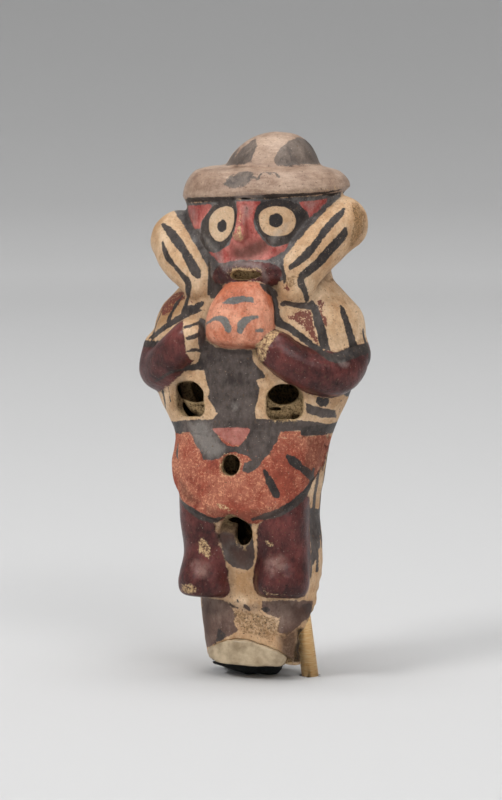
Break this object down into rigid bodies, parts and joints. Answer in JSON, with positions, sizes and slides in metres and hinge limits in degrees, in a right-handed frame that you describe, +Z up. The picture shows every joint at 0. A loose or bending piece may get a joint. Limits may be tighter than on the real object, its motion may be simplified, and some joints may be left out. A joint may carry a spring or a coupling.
{
  "type": "figural whistle",
  "caption": "Small fired-clay double whistle shaped as a standing figure in a brimmed cap, holding a small head, on a thin post and a foam wedge.",
  "frame": {"origin": "under the middle of the whole, on the surface that it stands on", "axes": "+Z up, -Y the figure's front, +X the figure's own left"},
  "size_m": [0.044, 0.0286, 0.1028],
  "materials": {
    "cream_slip": "burnished slip, worn",
    "buff_slip": "burnished slip, worn",
    "orange_slip": "matt slip, worn",
    "maroon_slip": "burnished slip",
    "bare_clay": "unslipped fired clay",
    "fill": "pale wax-like fill",
    "post_brass": "drawn rod",
    "foam": "closed-cell foam"
  },
  "bodies": {
    "display_mount": {"display_post": "post_brass", "foam_wedge": "foam"},
    "whistle": {"body_shell": "cream_slip", "head_shell": "cream_slip", "hat_brim": "buff_slip", "hat_crown": "buff_slip", "nose": "cream_slip", "held_head": "orange_slip", "left_headcloth_lobe": "cream_slip", "left_arm": "maroon_slip", "right_headcloth_lobe": "cream_slip", "right_arm": "maroon_slip", "apron": "orange_slip", "left_leg": "maroon_slip", "left_resonator": "bare_clay", "left_windway": "bare_clay", "right_leg": "maroon_slip", "right_resonator": "bare_clay", "right_windway": "bare_clay", "wind_block": "bare_clay", "foot_fill": "fill"}
  },
  "joints": [
    {"name": "lift_off", "type": "slide", "parent": "display_mount", "child": "whistle", "axis": [-0.1386, 0, 0.9903], "range_m": [0, 0.034]}
  ]
}
